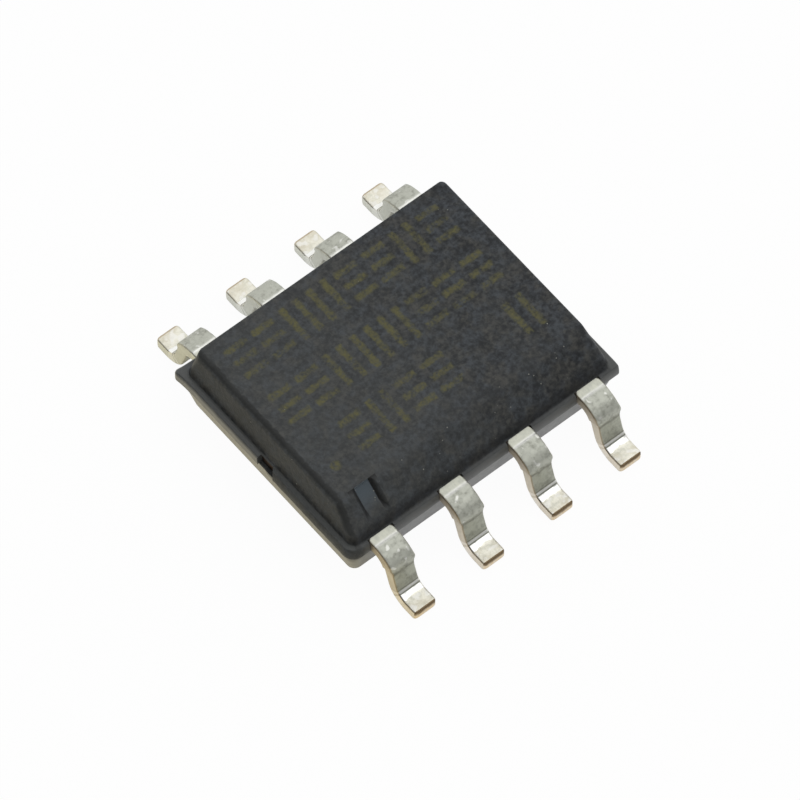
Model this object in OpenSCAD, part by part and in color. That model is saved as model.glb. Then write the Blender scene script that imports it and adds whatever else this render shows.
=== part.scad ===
// Eight-lead small-outline package with gull-wing leads.
// Origin: centre of the seating plane, under the body. X runs along the rows of leads,
// Y points to the second row and Z points up. Lead 1 is at the -X end of the -Y row.

/* [Moulded body] */
// Length along the rows of leads, over the parting-line rim
body_len = 4.98; // [4.8:0.01:5.2]
// Width between the rows of leads, over the parting-line rim
body_w = 3.98; // [3.9:0.01:4.1]
// Height of the moulding, without the air gap under it
body_h = 1.34; // [1.28:0.01:1.6]
// Air gap between the seating plane and the underside
standoff = 0.15; // [0.1:0.01:0.25]
// Draft of the moulded walls, in degrees
draft = 12; // [5:0.5:14]
// How far the upper half is set back from the rim
upper_setback = 0.10; // [0.05:0.01:0.14]
// How far the lower half is set back from the rim
lower_setback = 0.035; // [0.01:0.005:0.08]
// Corner radius of the rim
rim_r = 0.08; // [0.04:0.01:0.15]
// Corner radius of the upper and lower halves
corner_r = 0.13; // [0.08:0.01:0.2]
// Small bevel that breaks the upper edge of the rim
rim_break = 0.04; // [0.01:0.005:0.05]
// Small bevel that breaks the edges of the top face
edge_break = 0.07; // [0.03:0.005:0.1]
// Depth of the pockets at the ends, where the tie bars are cut off
pocket_depth = 0.10; // [0.03:0.01:0.15]
// Diameter of the ejector marks on the underside
ejector_d = 0.9; // [0.5:0.05:1.2]
// Depth of the ejector marks
ejector_depth = 0.04; // [0.02:0.01:0.08]
// Distance of each ejector mark from the middle of the underside
ejector_x = 1.35; // [1:0.05:1.5]

/* [Lead 1 marks] */
// Run of the bevel along the first row, back from the edge of the top face
bevel_run = 0.36; // [0.2:0.01:0.5]
// Drop of the bevel, down from the top face
bevel_drop = 0.42; // [0.3:0.01:0.5]
// Radius of the rounded edge between the top face and the bevel
bevel_r = 0.35; // [0.05:0.01:0.45]
// Width of the floor of the groove across the bevel
groove_w = 0.25; // [0.15:0.01:0.4]
// Depth of the groove, square to the bevel
groove_depth = 0.07; // [0.04:0.005:0.1]
// How far each side of the groove leans out over that depth
groove_lean = 0.09; // [0.02:0.01:0.12]
// How far below the top face the groove ends on the bevel
groove_drop = 0.36; // [0.25:0.01:0.4]
// How far the groove's upper end lies behind the upper edge of the bevel, before that edge is rounded
groove_back = 0.05; // [0:0.01:0.08]
// Distance between the middle of the groove and the end of the top face
groove_gap = 0.475; // [0.3:0.005:0.8]

/* [Leads] */
// Spacing of the leads along a row
pitch = 1.27; // [1.24:0.01:1.3]
// Overall width over the tips of the leads
span = 5.90; // [5.8:0.01:6.2]
// Thickness of the lead frame
lead_t = 0.20; // [0.15:0.01:0.25]
// Height of the upper face of the leads where they leave the body
lead_top = 0.95; // [0.88:0.01:1]
// Width of a lead from the body to the trimmed step
lead_w = 0.45; // [0.42:0.01:0.5]
// Width of a lead from the trimmed step to its tip
foot_w = 0.40; // [0.3:0.01:0.44]
// Height of the trimmed step above the seating plane
trim_z = 0.52; // [0.4:0.01:0.6]
// Height over which the trimmed step tapers
trim_taper = 0.04; // [0.01:0.01:0.1]
// Flat of the shoulder, from the rim to the first bend
shoulder_flat = 0.06; // [0.02:0.01:0.1]
// Inside radius of the bend at the shoulder
shoulder_r = 0.19; // [0.1:0.01:0.22]
// Inside radius of the bend at the heel
heel_r = 0.19; // [0.1:0.01:0.22]
// Slope of the shank against the seating plane, in degrees
shank_angle = 73; // [66:1:85]

/* [Lead frame inside the body] */
// Length of the die paddle, along the rows of leads
paddle_len = 2.6; // [2.2:0.05:2.8]
// Width of the die paddle
paddle_w = 1.7; // [1.5:0.05:1.9]
// How far the paddle is set down below the leads
downset = 0.17; // [0.05:0.01:0.25]
// Straight run of a tie bar between the paddle and its sloping part
tie_run = 0.10; // [0.05:0.01:0.2]
// Width of the tie bars
tie_w = 0.28; // [0.15:0.01:0.35]
// Offset of the tie bars from the middle, towards the second row
tie_y = 0; // [-0.2:0.01:0.2]
// Gap between the fingers and the paddle or its tie bars
finger_gap = 0.20; // [0.1:0.01:0.3]
// Width of the anchor head of a middle finger
head_w = 0.66; // [0.5:0.01:0.8]
// Length of the anchor head of a middle finger
head_len = 0.30; // [0.2:0.01:0.4]
// Length of the bonding end of a corner finger
corner_len = 0.55; // [0.4:0.01:0.7]

/* [Die and bond wires] */
// Length of the silicon die
die_len = 1.7; // [1.4:0.05:2]
// Width of the silicon die
die_w = 1.3; // [1:0.05:1.4]
// Thickness of the silicon die
die_t = 0.25; // [0.15:0.01:0.3]
// Thickness of the adhesive film under the die
attach_t = 0.025; // [0.015:0.005:0.05]
// How far the adhesive film shows past the die
attach_margin = 0.05; // [0.02:0.01:0.08]
// Diameter of the bond wires
wire_d = 0.03; // [0.02:0.005:0.04]
// Height of a wire's arch above the line between its ends
loop_h = 0.16; // [0.1:0.01:0.2]
// Diameter of the ball bond on the die
ball_d = 0.08; // [0.06:0.01:0.1]
// Height of the ball bond
ball_h = 0.02; // [0.01:0.005:0.03]
// Distance of the bond pads from the edge of the die
pad_inset = 0.12; // [0.08:0.01:0.2]
// Distance of the end pads from the die's middle line
pad_y = 0.35; // [0.2:0.01:0.45]
// Distance of the side pads from the die's middle line
pad_x = 0.40; // [0.2:0.01:0.6]
// Distance of a wire's end from the edges of its finger
land_inset = 0.12; // [0.08:0.01:0.2]

/* [Hidden] */
leads_per_row = 4;
lead_count = 2 * leads_per_row;

quarter = 90;
bend_steps = 10;
corner_steps = 6;
wire_steps = 9;
wire_sides = 6;
reach = 10;

lead_under = lead_top - lead_t;
top_z = standoff + body_h;
half_len = body_len / 2;
half_w = body_w / 2;
top_inset = upper_setback + (top_z - lead_top) * tan(draft);
break_inset = upper_setback + (top_z - edge_break - lead_top) * tan(draft);
under_inset = lower_setback + (lead_under - standoff) * tan(draft);

bevel_top_y = -(half_w - top_inset - bevel_run);
bevel_low_z = top_z - bevel_drop;
bevel_low_y = -(half_w - upper_setback - (bevel_low_z - lead_top) * tan(draft));
bevel_angle = atan2(bevel_drop, bevel_top_y - bevel_low_y);
round_y = bevel_top_y + bevel_r * tan(bevel_angle / 2);
groove_x = -(half_len - top_inset - groove_gap);
groove_floor_z = top_z - groove_depth / cos(bevel_angle);
groove_low = [bevel_top_y - groove_drop / tan(bevel_angle), top_z - groove_drop]
    + groove_depth * [sin(bevel_angle), -cos(bevel_angle)];
groove_top = [bevel_top_y + groove_back, groove_floor_z + groove_back * tan(bevel_angle)];

// A foot keeps a flat at least as long as the lead is thick, so the bends tighten where the
// span leaves less room than that
foot_min = lead_t;
bend_y = half_w + shoulder_flat;
shank_run = lead_t * sin(shank_angle)
    + (lead_under - lead_t + lead_t * cos(shank_angle)) / tan(shank_angle);
bend_run = (shoulder_r + heel_r) * (sin(shank_angle) + (cos(shank_angle) - 1) / tan(shank_angle));
bend_share = min(1, (span / 2 - bend_y - foot_min - shank_run) / bend_run);
bend_in = bend_share * shoulder_r;
bend_out = bend_in + lead_t;
heel_in = bend_share * heel_r;
heel_out = heel_in + lead_t;
heel_y = bend_y + shank_run + bend_share * bend_run;

paddle_top = lead_top - downset;
slope_low_x = paddle_len / 2 + tie_run;
slope_top_x = slope_low_x + downset;
die_z = paddle_top + attach_t;
die_top = die_z + die_t;
middle_tip_y = paddle_w / 2 + finger_gap;
corner_tip_y = abs(tie_y) + tie_w / 2 + finger_gap;
corner_tip_x = paddle_len / 2 + finger_gap;

// Outline of the body at one height, with round corners, set in from the rim
function outline(inset, r, z) = [
    for (corner = [0:3], k = [0:corner_steps])
        let (
            middle = quarter * (corner + 1 / 2),
            a = quarter * (corner + k / corner_steps)
        )
        [
            sign(cos(middle)) * (half_len - inset - r) + r * cos(a),
            sign(sin(middle)) * (half_w - inset - r) + r * sin(a),
            z
        ]
];

// One level of the groove's cutter, at a height square to its floor. Its upper end stands upright
function groove_ring(height) =
    let (
        low = groove_low + height * [-sin(bevel_angle), cos(bevel_angle)],
        high = groove_top + [0, height / cos(bevel_angle)],
        side = groove_w / 2 + height * groove_lean / groove_depth
    )
    [
        [groove_x - side, low[0], low[1]],
        [groove_x + side, low[0], low[1]],
        [groove_x + side, high[0], high[1]],
        [groove_x - side, high[0], high[1]]
    ];

// Which way round a lead stands: the first row is the second row turned half a turn
function row_turn(i) = i <= leads_per_row ? 2 * quarter : 0;

// Where a lead lies along its own row, before that turn
function row_x(i) = ((i - 1) % leads_per_row - (leads_per_row - 1) / 2) * -pitch;

function is_corner(i) = abs(row_x(i)) > pitch;

// An arc that meets a level face at a point, below the face where side is 1 and above it where -1
function bend(at, r, side, from, to) = [
    for (k = [0:bend_steps])
        let (a = from + (to - from) * k / bend_steps)
        at + r * [cos(a), sin(a) - side]
];

// Side view of a lead, from the middle of the body to the tip, as Y and Z
function lead_side() = concat(
    [[0, lead_top]],
    bend([bend_y, lead_top], bend_out, 1, quarter, quarter - shank_angle),
    bend([heel_y, lead_t], heel_in, -1, 3 * quarter - shank_angle, 3 * quarter),
    [[span / 2, lead_t], [span / 2, 0]],
    bend([heel_y, 0], heel_out, -1, 3 * quarter, 3 * quarter - shank_angle),
    bend([bend_y, lead_under], bend_in, 1, quarter - shank_angle, quarter),
    [[0, lead_under]]
);

// Plan of a middle lead: a straight finger with an anchor head
function middle_plan(x) = [
    [x - lead_w / 2, span],
    [x - lead_w / 2, middle_tip_y + head_len],
    [x - head_w / 2, middle_tip_y + head_len],
    [x - head_w / 2, middle_tip_y],
    [x + head_w / 2, middle_tip_y],
    [x + head_w / 2, middle_tip_y + head_len],
    [x + lead_w / 2, middle_tip_y + head_len],
    [x + lead_w / 2, span]
];

// Plan of a corner lead: its finger runs past the end of the paddle and widens towards it
function corner_plan(x, side) = [
    [x + side * lead_w / 2, span],
    [x + side * lead_w / 2, corner_tip_y],
    [side * corner_tip_x, corner_tip_y],
    [side * corner_tip_x, corner_tip_y + corner_len],
    [x - side * lead_w / 2, corner_tip_y + corner_len + abs(x) - lead_w / 2 - corner_tip_x],
    [x - side * lead_w / 2, span]
];

// Front view of a lead about its middle line: narrow below the trimmed step
function lead_front() = [
    [-foot_w / 2, -reach],
    [foot_w / 2, -reach],
    [foot_w / 2, trim_z],
    [lead_w / 2, trim_z + trim_taper],
    [reach, trim_z + trim_taper],
    [reach, reach],
    [-reach, reach],
    [-reach, trim_z + trim_taper],
    [-lead_w / 2, trim_z + trim_taper],
    [-foot_w / 2, trim_z]
];

// Where a wire starts on the die and ends on a finger, in the second row's place
function pad_point(x, corner) = corner
    ? [sign(x) * (die_len / 2 - pad_inset), pad_y, die_top]
    : [sign(x) * pad_x, die_w / 2 - pad_inset, die_top];
function land_point(x, corner) = corner
    ? [sign(x) * (corner_tip_x + land_inset), corner_tip_y + land_inset, lead_top]
    : [x, middle_tip_y + land_inset, lead_top];

function unit(v) = v / norm(v);

// A ring of points about a centre, square to the way that a wire runs
function ring(centre, r, side, along) = [
    for (k = [0:wire_sides - 1])
        let (a = 4 * quarter * k / wire_sides)
        centre + r * (cos(a) * side + sin(a) * cross(along, side))
];

// One ring of a wire's arch at t from 0 to 1. The arch leaves and lands square to the flat faces
function arch_ring(from, to, side, t) =
    let (
        centre = from * (1 - t) + to * t + [0, 0, 4 * loop_h * t * (1 - t)],
        slope = to - from + [0, 0, 4 * loop_h * (1 - 2 * t)],
        along = t == 0 ? [0, 0, 1] : t == 1 ? [0, 0, -1] : unit(slope)
    )
    ring(centre, wire_d / 2, side, along);

// A closed solid through a stack of rings that all have the same number of points
module skin(rings) {
    sides = len(rings[0]);
    last = len(rings) - 1;
    walls = [
        for (k = [0:last - 1], s = [0:sides - 1])
            let (a = k * sides + s, b = k * sides + (s + 1) % sides)
            each [[a, a + sides, b], [b, a + sides, b + sides]]
    ];
    start = [for (s = [0:sides - 1]) s];
    end = [for (s = [sides - 1:-1:0]) last * sides + s];
    polyhedron([for (r = rings, p = r) p], concat(walls, [start, end]));
}

// The moulding before it is cut: lower half, rim and upper half, from the underside up
module moulding() {
    skin([
        outline(under_inset, corner_r, standoff),
        outline(lower_setback, corner_r, lead_under),
        outline(0, rim_r, lead_under),
        outline(0, rim_r, lead_top - rim_break),
        outline(rim_break, rim_r, lead_top),
        outline(upper_setback, corner_r, lead_top),
        outline(break_inset, corner_r, top_z - edge_break),
        outline(top_inset + edge_break, corner_r, top_z)
    ]);
}

// What is taken off above the bevel and its rounded upper edge
module bevel() {
    translate([-body_len, 0, 0])
        rotate([90, 0, 90])
            linear_extrude(2 * body_len)
                polygon(concat(
                    bend([round_y, top_z], bevel_r, 1, quarter, quarter + bevel_angle),
                    [
                        [bevel_low_y, bevel_low_z],
                        [-span, bevel_low_z],
                        [-span, top_z + bevel_drop],
                        [round_y, top_z + bevel_drop]
                    ]
                ));
}

module groove() {
    skin([groove_ring(0), groove_ring(2 * groove_depth)]);
}

module ejector_marks() {
    for (side = [-1, 1])
        translate([side * ejector_x, 0, standoff - ejector_depth])
            cylinder(h = 2 * ejector_depth, d = ejector_d, $fn = 64);
}

module package_body() {
    color([0.16, 0.17, 0.18])
        difference() {
            moulding();
            bevel();
            groove();
            ejector_marks();
            for (i = [1:lead_count]) lead(i);
            tied_paddle(body_len);
            die_attach();
            silicon_die();
            for (i = [1:lead_count]) bond_wire(i);
        }
}

module lead(i) {
    x = row_x(i);
    color([0.78, 0.77, 0.73])
        rotate(row_turn(i))
            intersection() {
                translate([x - pitch, 0, 0])
                    rotate([90, 0, 90])
                        linear_extrude(2 * pitch) polygon(lead_side());
                translate([0, 0, -lead_t])
                    linear_extrude(lead_top + 2 * lead_t)
                        polygon(is_corner(i) ? corner_plan(x, sign(x)) : middle_plan(x));
                translate([x, span, 0])
                    rotate([90, 0, 0])
                        linear_extrude(span) polygon(lead_front());
            }
}

// The paddle with tie bars that run out to a distance from the middle. Where the body is made,
// they run out through its ends, which leaves the pockets
module tied_paddle(end) {
    line = [
        [-end, lead_top],
        [-slope_top_x, lead_top],
        [-slope_low_x, paddle_top],
        [slope_low_x, paddle_top],
        [slope_top_x, lead_top],
        [end, lead_top]
    ];
    under = [for (k = [len(line) - 1:-1:0]) line[k] - [0, lead_t]];
    intersection() {
        translate([0, half_w, 0])
            rotate([90, 0, 0])
                linear_extrude(body_w) polygon(concat(line, under));
        linear_extrude(top_z) {
            square([paddle_len, paddle_w], center = true);
            translate([0, tie_y]) square([2 * end, tie_w], center = true);
        }
    }
}

module die_paddle() {
    color([0.72, 0.45, 0.3])
        tied_paddle(half_len - pocket_depth);
}

module die_attach() {
    color([0.75, 0.74, 0.7])
        translate([0, 0, paddle_top])
            linear_extrude(attach_t)
                square([die_len + 2 * attach_margin, die_w + 2 * attach_margin], center = true);
}

module silicon_die() {
    color([0.35, 0.36, 0.42])
        translate([0, 0, die_z])
            linear_extrude(die_t)
                square([die_len, die_w], center = true);
}

module bond_wire(i) {
    x = row_x(i);
    pad = pad_point(x, is_corner(i));
    land = land_point(x, is_corner(i));
    from = pad + [0, 0, ball_h];
    flat = unit([land[0] - pad[0], land[1] - pad[1], 0]);
    side = [-flat[1], flat[0], 0];
    up = [0, 0, 1];
    color([0.9, 0.72, 0.3])
        rotate(row_turn(i))
            skin(concat(
                [ring(pad, ball_d / 2, side, up), ring(from, ball_d / 2, side, up)],
                [for (k = [0:wire_steps]) arch_ring(from, land, side, k / wire_steps)]
            ));
}

package_body();
die_paddle();
die_attach();
silicon_die();
for (i = [1:lead_count]) lead(i);
for (i = [1:lead_count]) bond_wire(i);
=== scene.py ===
"""Looks of an eight-lead small-outline chip: moulded body, tinned leads and the pieces inside.

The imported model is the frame. The body and the leads are made here as finer meshes of the same form.
They are drawn in millimetres and turned into metres when their objects are made.
"""

import logging
from collections.abc import Callable, Iterable, Mapping, Sequence
from dataclasses import dataclass
from enum import Enum, IntEnum
from math import atan2, copysign, cos, exp, hypot, pi, radians, sin, sqrt, tan

import bmesh
import bpy
from bmesh.types import BMesh, BMFace
from bpy.types import Material, Mesh, Node, NodeSocket, NodeTree, Object, World
from mathutils import Matrix, Vector, noise


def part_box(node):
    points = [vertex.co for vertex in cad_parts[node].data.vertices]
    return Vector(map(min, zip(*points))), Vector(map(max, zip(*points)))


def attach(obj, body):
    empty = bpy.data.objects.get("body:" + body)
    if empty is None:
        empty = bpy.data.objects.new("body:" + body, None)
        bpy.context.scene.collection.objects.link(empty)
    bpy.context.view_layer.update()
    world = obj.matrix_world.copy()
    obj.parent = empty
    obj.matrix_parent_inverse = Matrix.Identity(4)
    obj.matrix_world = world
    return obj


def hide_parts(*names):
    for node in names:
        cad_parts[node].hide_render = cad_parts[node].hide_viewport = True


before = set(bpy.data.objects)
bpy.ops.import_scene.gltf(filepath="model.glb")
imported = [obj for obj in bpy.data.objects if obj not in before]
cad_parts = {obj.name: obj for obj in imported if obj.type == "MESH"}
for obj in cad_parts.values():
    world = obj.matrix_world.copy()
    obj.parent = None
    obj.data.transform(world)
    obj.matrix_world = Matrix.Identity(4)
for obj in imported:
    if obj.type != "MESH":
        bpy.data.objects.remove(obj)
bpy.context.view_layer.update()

LOG = logging.getLogger("chip")
MM = 0.001
QUARTER = pi / 2
SHARP_EDGE = radians(32)
BODY = "root"
LEADS_PER_ROW = 4
LEAD_NUMBERS = range(1, 2 * LEADS_PER_ROW + 1)

Colour = tuple[float, float, float]
Operand = "Signal | float"
Paint = "Signal | Colour"


def rgba(colour: Colour) -> tuple[float, float, float, float]:
    """Return a colour with full alpha, as sockets take it."""
    return (*colour, 1.0)


def sweep(start: float, end: float, steps: int) -> list[float]:
    """Return evenly spaced values from one to another, with both ends."""
    return [start + (end - start) * k / steps for k in range(steps + 1)]


def maths(operation: str, reflected: bool = False) -> Callable[..., "Signal"]:
    """Make the method for one operation of a Math node.

    Args:
        operation: The node's operation.
        reflected: Whether the signal is the right-hand value.

    Returns:
        A method that adds the node and returns its output.
    """

    def method(signal: "Signal", other: Operand = 0.0) -> "Signal":
        """Add the Math node."""
        first, second = (other, signal) if reflected else (signal, other)
        return signal.graph.node("Math", {"operation": operation}, {0: first, 1: second})

    return method


@dataclass(frozen=True)
class Signal:
    """A shader socket that takes part in Python expressions.

    Beside the usual operators, turn gives the angle whose tangent is this over another value, and most gives
    the larger of two values.
    """

    graph: "ShaderGraph"
    socket: NodeSocket

    __add__, __radd__ = maths("ADD"), maths("ADD", reflected=True)
    __sub__, __rsub__ = maths("SUBTRACT"), maths("SUBTRACT", reflected=True)
    __mul__, __rmul__ = maths("MULTIPLY"), maths("MULTIPLY", reflected=True)
    __truediv__, __rtruediv__ = maths("DIVIDE"), maths("DIVIDE", reflected=True)
    __abs__, floor, fract = maths("ABSOLUTE"), maths("FLOOR"), maths("FRACT")
    turn, most = maths("ARCTAN2"), maths("MAXIMUM")

    def rise(self, low: float, high: float) -> "Signal":
        """Go smoothly from 0 at low to 1 at high, or fall where high is the lesser."""
        span = {"Value": self, "From Min": low, "From Max": high}
        return self.graph.node("MapRange", {"interpolation_type": "SMOOTHSTEP"}, span)

    def within(self, low: float, high: float, soft: float) -> "Signal":
        """Return 1 between two values, with soft ends of a given width."""
        return self.rise(low - soft, low + soft) * self.rise(high + soft, high - soft)

    def spread(self, width: float) -> "Signal":
        """Turn a value that lies about a half into one of some width about zero."""
        return (self - 0.5) * width

    def coated(self, share: Operand, coat: Paint) -> "Signal":
        """Lay a share of another colour over this one."""
        return self.graph.mix(share, self, coat)


@dataclass(frozen=True)
class ShaderGraph:
    """The node tree of one material or of the world."""

    owner: Material | World

    def __post_init__(self) -> None:
        """Give the owner an empty tree."""
        self.owner.use_nodes = True
        self.tree.nodes.clear()

    @property
    def tree(self) -> NodeTree:
        """The owner's tree."""
        return self.owner.node_tree

    def add(self, kind: str, settings: Mapping[str, object], inputs: Mapping[str | int, object]) -> Node:
        """Add a node of any kind.

        Args:
            kind: The node's type, without the word that all types start with.
            settings: Its own settings, which are set first.
            inputs: A value or a signal for each socket, by name or number.

        Returns:
            The node.
        """
        made = self.tree.nodes.new(f"ShaderNode{kind}")
        for name, value in settings.items():
            setattr(made, name, value)
        for key, value in inputs.items():
            if isinstance(value, Signal):
                self.tree.links.new(value.socket, made.inputs[key])
            else:
                made.inputs[key].default_value = value
        return made

    def node(
        self,
        kind: str,
        settings: Mapping[str, object] | None = None,
        inputs: Mapping[str | int, object] | None = None,
        output: str | int = 0,
    ) -> Signal:
        """Add a node of any kind and return one of its outputs."""
        return Signal(self, self.add(kind, settings or {}, inputs or {}).outputs[output])

    def end(self, kind: str, shader: Signal) -> Material | World:
        """Add the output node of a material or a world, and return the tree's owner."""
        self.add(f"Output{kind}", {}, {"Surface": shader})
        return self.owner

    def mix(self, factor: Operand, first: Paint, second: Paint) -> Signal:
        """Mix two colours, of which a factor of 0 gives the first and 1 the second."""
        ends = [end if isinstance(end, Signal) else rgba(end) for end in (first, second)]
        return self.node("Mix", {"data_type": "RGBA"}, {0: factor, 6: ends[0], 7: ends[1]}, output=2)

    def blend(self, factor: Operand, first: Signal, second: Signal) -> Signal:
        """Mix two shaders, of which a factor of 0 gives the first and 1 the second."""
        return self.node("MixShader", inputs={0: factor, 1: first, 2: second})

    def glow(self, kind: str, strength: float, colour: Colour = (1.0, 1.0, 1.0)) -> Signal:
        """Return an even background or emission of some strength."""
        return self.node(kind, inputs={"Color": rgba(colour), "Strength": strength})

    def place(self) -> Signal:
        """Return the point on the object, in millimetres of the part's own frame."""
        return self.scaled(self.node("TexCoord", output="Object"), (1 / MM, 1 / MM, 1 / MM))

    def scaled(self, vector: Signal, factors: tuple[float, float, float]) -> Signal:
        """Return a vector with each axis multiplied by its own factor."""
        return self.node("VectorMath", {"operation": "MULTIPLY"}, {0: vector, 1: factors})

    def axes(self, vector: Signal) -> tuple[Signal, Signal, Signal]:
        """Split a vector into its three values."""
        split = self.add("SeparateXYZ", {}, {0: vector})
        return tuple(Signal(self, split.outputs[name]) for name in "XYZ")

    def grain(self, vector: Signal, scale: float, detail: float = 2.0, rough: float = 0.5) -> Signal:
        """Return noise about 0.5, with its features for each millimetre and its finer layers."""
        inputs = {"Vector": vector, "Scale": scale, "Detail": detail, "Roughness": rough}
        return self.node("TexNoise", inputs=inputs, output="Fac")

    def specks(self, vector: Signal, scale: float) -> Signal:
        """Return the distance to the nearest of some scattered points."""
        return self.node("TexVoronoi", {"feature": "F1"}, {"Vector": vector, "Scale": scale}, "Distance")

    def chance(self, cell: Signal, row: float) -> Signal:
        """Return a value from 0 to 1 that stays the same over a numbered cell of a row."""
        key = self.node("CombineXYZ", inputs={0: cell, 1: row})
        return self.node("TexWhiteNoise", {"noise_dimensions": "2D"}, {"Vector": key}, "Value")

    def bump(self, height: Signal, depth: float) -> Signal:
        """Turn a height, of which 1 stands for a depth in millimetres, into a normal."""
        return self.node("Bump", inputs={"Height": height, "Distance": depth * MM, "Strength": 1.0})

    def surface(self, **sockets: object) -> Material:
        """Finish the tree with a Principled surface, whose sockets' names are words joined by underscores."""
        named = {key.replace("_", " ").title().replace("Ior", "IOR"): value for key, value in sockets.items()}
        return self.end("Material", self.node("BsdfPrincipled", inputs=named))


@dataclass(frozen=True)
class InkRow:
    """One row of the marking: where it lies and where it starts and ends."""

    y: float
    start: float
    end: float


@dataclass(frozen=True)
class WornInk:
    """Dull ink on the top face: a dot at lead 1 and rows of plain bars and dashes, all rubbed."""

    top_z: float
    rows: tuple[InkRow, ...] = (
        InkRow(1.27, -2.02, 2.02),
        InkRow(0.28, -2.02, 2.02),
        InkRow(-0.68, -1.52, 0.50),
        InkRow(-0.68, 1.52, 2.02),
    )
    pitch: float = 0.505
    height: float = 0.58
    stroke: float = 0.10
    soft: float = 0.05
    bleed: float = 0.09
    dot_place: tuple[float, float] = (-1.9, -0.92)
    dot_size: float = 0.13

    def line(self, off: Signal) -> Signal:
        """Return 1 on a stroke, from the distance to its middle line."""
        return abs(off).rise((self.stroke + self.soft) / 2, (self.stroke - self.soft) / 2)

    def signs(self, x: Signal, y: Signal) -> Signal:
        """Draw the rows of signs, each of which is either two bars or three dashes.

        Args:
            x: The place along the rows, in millimetres.
            y: The place across the rows, in millimetres.

        Returns:
            1 on a stroke.
        """
        cell = (x / self.pitch).floor()
        across = (x / self.pitch).fract().spread(self.pitch)
        reach = (self.height - self.stroke) / 2
        bars = self.line(abs(across) - self.pitch / 4)
        width = abs(across).rise(self.pitch / 3 + self.soft, self.pitch / 3)
        drawn = bars * 0.0
        for number, row in enumerate(self.rows):
            off = y - row.y
            dashes = self.line((off / reach + 0.5).fract().spread(reach)) * width
            dashed = x.graph.chance(cell, number).rise(0.49, 0.51)
            inside = abs(off).rise(self.height / 2 + self.soft, self.height / 2)
            signs = (bars * (1 - dashed) + dashes * dashed) * inside
            drawn = drawn.most(signs * x.within(row.start, row.end, self.soft))
        return drawn

    def share(self, point: Signal) -> Signal:
        """Say how much ink is left.

        Args:
            point: The point, in millimetres.

        Returns:
            The share of ink, from 0 to 1.
        """
        grain = point.graph.grain
        x, y, z = point.graph.axes(point)
        off_x, off_y = x - self.dot_place[0], y - self.dot_place[1]
        dot = (off_x * off_x + off_y * off_y).rise((self.dot_size * 0.8) ** 2, (self.dot_size * 0.4) ** 2)
        wear = grain(point, 3.0, 4.0, 0.65) * 0.7 + grain(point, 20.0, 2.0, 0.6) * 0.6
        creep = grain(point, 9.0, 3.0, 0.6).spread(self.bleed)
        drawn = self.signs(x + creep, y + creep).most(dot)
        return drawn * z.rise(self.top_z - 0.03, self.top_z - 0.01) * wear.rise(0.42, 0.86)


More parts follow.
